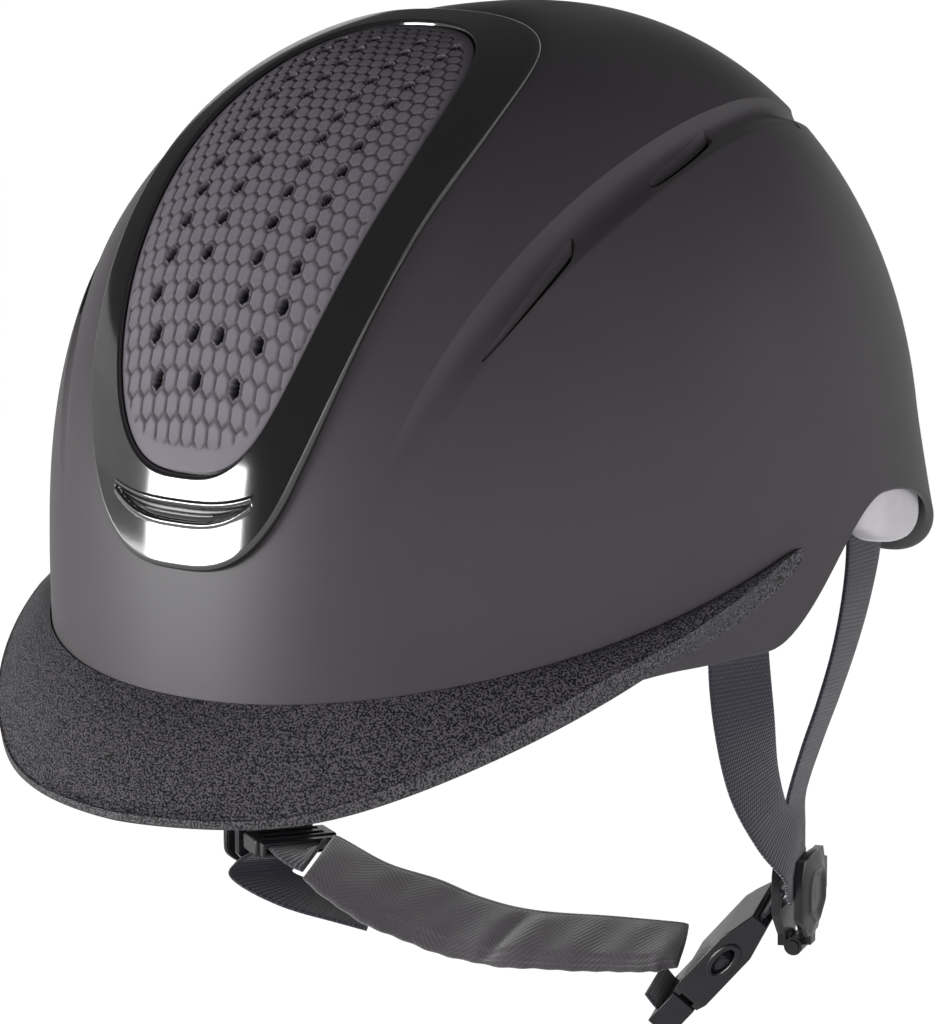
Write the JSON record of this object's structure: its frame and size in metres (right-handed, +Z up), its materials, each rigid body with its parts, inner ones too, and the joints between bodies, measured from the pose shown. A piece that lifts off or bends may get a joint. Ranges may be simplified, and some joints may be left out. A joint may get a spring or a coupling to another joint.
{
  "type": "riding helmet",
  "caption": "Riding helmet with a short visor, a vented front panel in a glossy frame, a padded chin harness and a nape fit dial.",
  "frame": {"origin": "in the middle plane inside the head opening, 49.7 mm below the shell's widest level, at the head seat mount", "axes": "+Z up through the crown, -Y to the front where the visor is, +X to the wearer's left"},
  "size_m": [0.2158, 0.3004, 0.287],
  "materials": {
    "shell_matte": "soft-touch matt, near black",
    "foam": "moulded foam, fine bead grain",
    "trim_plastic": "satin",
    "visor_grain": "fine speckled grain",
    "frame_gloss": "black mirror-bright coating",
    "accent_gloss": "glossy black",
    "vent_rubber": "matt, raised honeycomb relief",
    "insert_gloss": "glossy black",
    "bolster_grey": "satin light-grey lining",
    "pad_fabric": "soft knitted lining",
    "hook_fabric": "hook tape",
    "pad_twill": "charcoal twill",
    "webbing": "ribbed woven webbing",
    "buckle_gloss": "semi-gloss black",
    "small_metal": "bright",
    "gear_plastic": "natural white"
  },
  "bodies": {
    "helmet": {"outer_shell": "shell_matte", "impact_liner": "foam", "rim_trim": "trim_plastic", "visor": "visor_grain", "front_frame": "frame_gloss", "accent_bar": "accent_gloss", "vent_panel": "vent_rubber", "side_vent_left": "insert_gloss", "side_vent_right": "insert_gloss", "nape_bolster": "bolster_grey", "brow_pad": "pad_fabric", "crown_pad": "pad_fabric", "side_pads": "pad_fabric", "hook_dots": "hook_fabric", "anchor_plates": "small_metal", "anchor_rivets": "small_metal", "front_strap_left": "webbing", "front_strap_right": "webbing", "rear_strap_left": "webbing", "rear_strap_right": "webbing", "divider_base_left": "buckle_gloss", "divider_base_right": "buckle_gloss", "divider_pin_left": "small_metal", "divider_pin_right": "small_metal", "buckle_web": "webbing", "buckle_socket": "buckle_gloss", "chin_web_left": "webbing", "chin_web_right": "webbing", "ladder_slider": "buckle_gloss", "strap_keeper": "buckle_gloss", "chin_pad": "pad_twill", "headband_left": "trim_plastic", "headband_right": "trim_plastic", "temple_studs": "trim_plastic", "nape_hanger": "trim_plastic", "dial_housing": "trim_plastic", "housing_cover": "trim_plastic", "cover_screws": "small_metal", "nape_pad": "pad_fabric"},
    "left_lever": {"divider_lever_left": "buckle_gloss"},
    "right_lever": {"divider_lever_right": "buckle_gloss"},
    "tongue": {"buckle_tongue": "buckle_gloss"},
    "front_prong": {"prong_front": "buckle_gloss"},
    "rear_prong": {"prong_rear": "buckle_gloss"},
    "dial": {"adjuster_dial": "buckle_gloss", "pinion": "gear_plastic"},
    "left_rack": {"rack_left": "gear_plastic"},
    "right_rack": {"rack_right": "gear_plastic"}
  },
  "joints": [
    {"name": "dial_spin", "type": "hinge", "parent": "helmet", "child": "dial", "pos_m": [0, 0.108, 0.008], "axis": [0, 1, 0], "range_deg": [0, 110]},
    {"name": "left_rack_slide", "type": "slide", "parent": "helmet", "child": "left_rack", "axis": [1, 0, 0], "range_m": [0, 0.0096]},
    {"name": "right_rack_slide", "type": "slide", "parent": "helmet", "child": "right_rack", "axis": [-1, 0, 0], "range_m": [0, 0.0096]},
    {"name": "left_lever_hinge", "type": "hinge", "parent": "helmet", "child": "left_lever", "pos_m": [0.0852, 0.031, -0.0714], "axis": [-0.342, 0.9397, 0], "range_deg": [0, 80]},
    {"name": "right_lever_hinge", "type": "hinge", "parent": "helmet", "child": "right_lever", "pos_m": [-0.0856, 0.004, -0.0754], "axis": [-0.342, -0.9397, 0], "range_deg": [0, 80]},
    {"name": "tongue_slide", "type": "slide", "parent": "helmet", "child": "tongue", "axis": [-0.6543, -0.1236, -0.7461], "range_m": [0, 0.02], "deforming": ["chin_web_left"]},
    {"name": "front_prong_bend", "type": "hinge", "parent": "tongue", "child": "front_prong", "pos_m": [0.05771, 0.01496, -0.08939], "axis": [-0.6632, -0.3801, 0.6447], "range_deg": [0, 7], "stiffness_Nm_per_rad": 0.05},
    {"name": "rear_prong_bend", "type": "hinge", "parent": "tongue", "child": "rear_prong", "pos_m": [0.05161, 0.03036, -0.08659], "axis": [0.6632, 0.3801, -0.6447], "range_deg": [0, 7], "stiffness_Nm_per_rad": 0.05}
  ],
  "couplings": [
    {"joint": "left_rack_slide", "follows": "dial_spin", "m_per_rad": 0.005},
    {"joint": "right_rack_slide", "follows": "dial_spin", "m_per_rad": 0.005}
  ]
}
